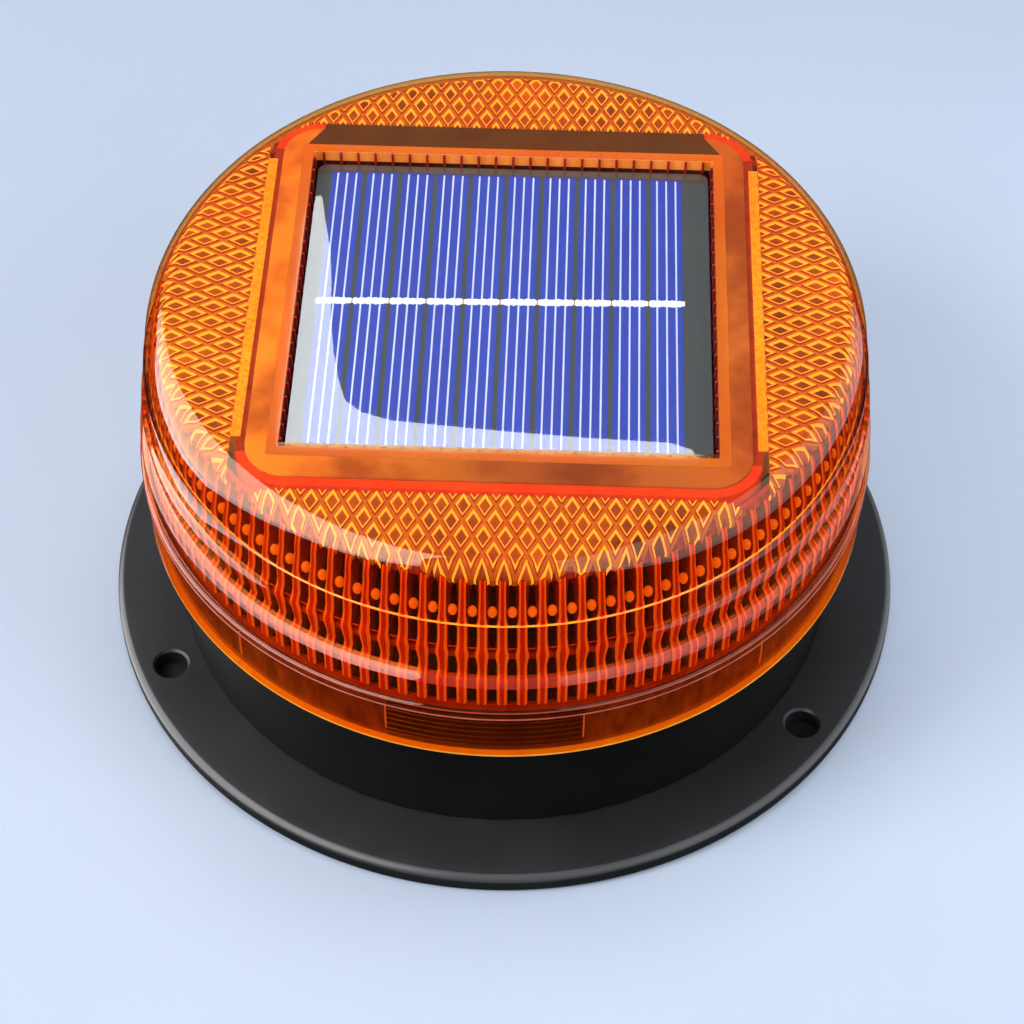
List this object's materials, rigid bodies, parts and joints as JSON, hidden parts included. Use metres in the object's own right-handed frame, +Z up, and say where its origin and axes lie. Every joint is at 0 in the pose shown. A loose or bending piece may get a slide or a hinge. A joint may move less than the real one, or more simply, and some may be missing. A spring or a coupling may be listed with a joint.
{
  "type": "solar barricade warning light",
  "caption": "Round amber solar warning light on a black riser with a flat screw-down flange; a recessed push button underneath turns it on.",
  "frame": {"origin": "centre of the mounting flange's underside, on the surface the light is screwed to", "axes": "+Z up through the middle of the lens; the solar panel's edges run along X and Y; -Y is the front"},
  "size_m": [0.1372, 0.1372, 0.0682],
  "materials": {
    "amber_lens": "clear amber polycarbonate, polished",
    "black_plastic": "fine-grained moulded black",
    "seal_rubber": "smooth rubber",
    "panel_back": "dark board",
    "silicon": "blue silicon cell with silver lines",
    "clear_resin": "clear domed resin",
    "glue": "soft adhesive",
    "white_board": "white solder mask",
    "green_board": "green solder mask",
    "chip_black": "moulded black",
    "ferrite": "ferrite core with copper winding",
    "tinned_metal": "tinned",
    "battery_wrap": "blue sleeve",
    "button_red": "red, satin",
    "led_package": "white package with yellow phosphor",
    "screw_steel": "zinc plated",
    "red_wire": "red insulation",
    "black_wire": "black insulation"
  },
  "bodies": {
    "lamp": {"base_cup": "black_plastic", "battery_cell": "battery_wrap", "battery_holder": "black_plastic", "battery_plate": "tinned_metal", "battery_spring": "tinned_metal", "battery_wire_black": "black_wire", "battery_wire_red": "red_wire", "board_screw_1": "screw_steel", "board_screw_2": "screw_steel", "boost_inductor": "ferrite", "button_seal": "seal_rubber", "button_spring": "tinned_metal", "charge_diode": "chip_black", "control_board": "green_board", "control_chip": "chip_black", "filter_capacitor": "tinned_metal", "flange_screw_1": "screw_steel", "flange_screw_2": "screw_steel", "flange_screw_3": "screw_steel", "inner_drum": "black_plastic", "led_1": "led_package", "led_2": "led_package", "led_3": "led_package", "led_4": "led_package", "led_5": "led_package", "led_6": "led_package", "led_7": "led_package", "led_8": "led_package", "led_board": "white_board", "led_wire_black": "black_wire", "led_wire_red": "red_wire", "lens_cover": "amber_lens", "lens_screw_1": "screw_steel", "lens_screw_2": "screw_steel", "lens_screw_3": "screw_steel", "lens_screw_4": "screw_steel", "lens_seal": "seal_rubber", "light_sensor": "chip_black", "mounting_flange": "black_plastic", "panel_adhesive": "glue", "panel_board": "panel_back", "panel_resin": "clear_resin", "panel_wire_black": "black_wire", "panel_wire_red": "red_wire", "solar_cell_01": "silicon", "solar_cell_02": "silicon", "solar_cell_03": "silicon", "solar_cell_04": "silicon", "solar_cell_05": "silicon", "solar_cell_06": "silicon", "solar_cell_07": "silicon", "solar_cell_08": "silicon", "solar_cell_09": "silicon", "solar_cell_10": "silicon", "switch_body": "chip_black", "wire_connector": "white_board"},
    "button": {"power_button": "button_red"}
  },
  "joints": [
    {"name": "power_button_press", "type": "slide", "parent": "lamp", "child": "button", "axis": [0, 0, 1], "range_m": [0, 0.0015], "stiffness_N_per_m": 400, "springref_m": -0.002, "deforming": ["button_spring"]}
  ]
}
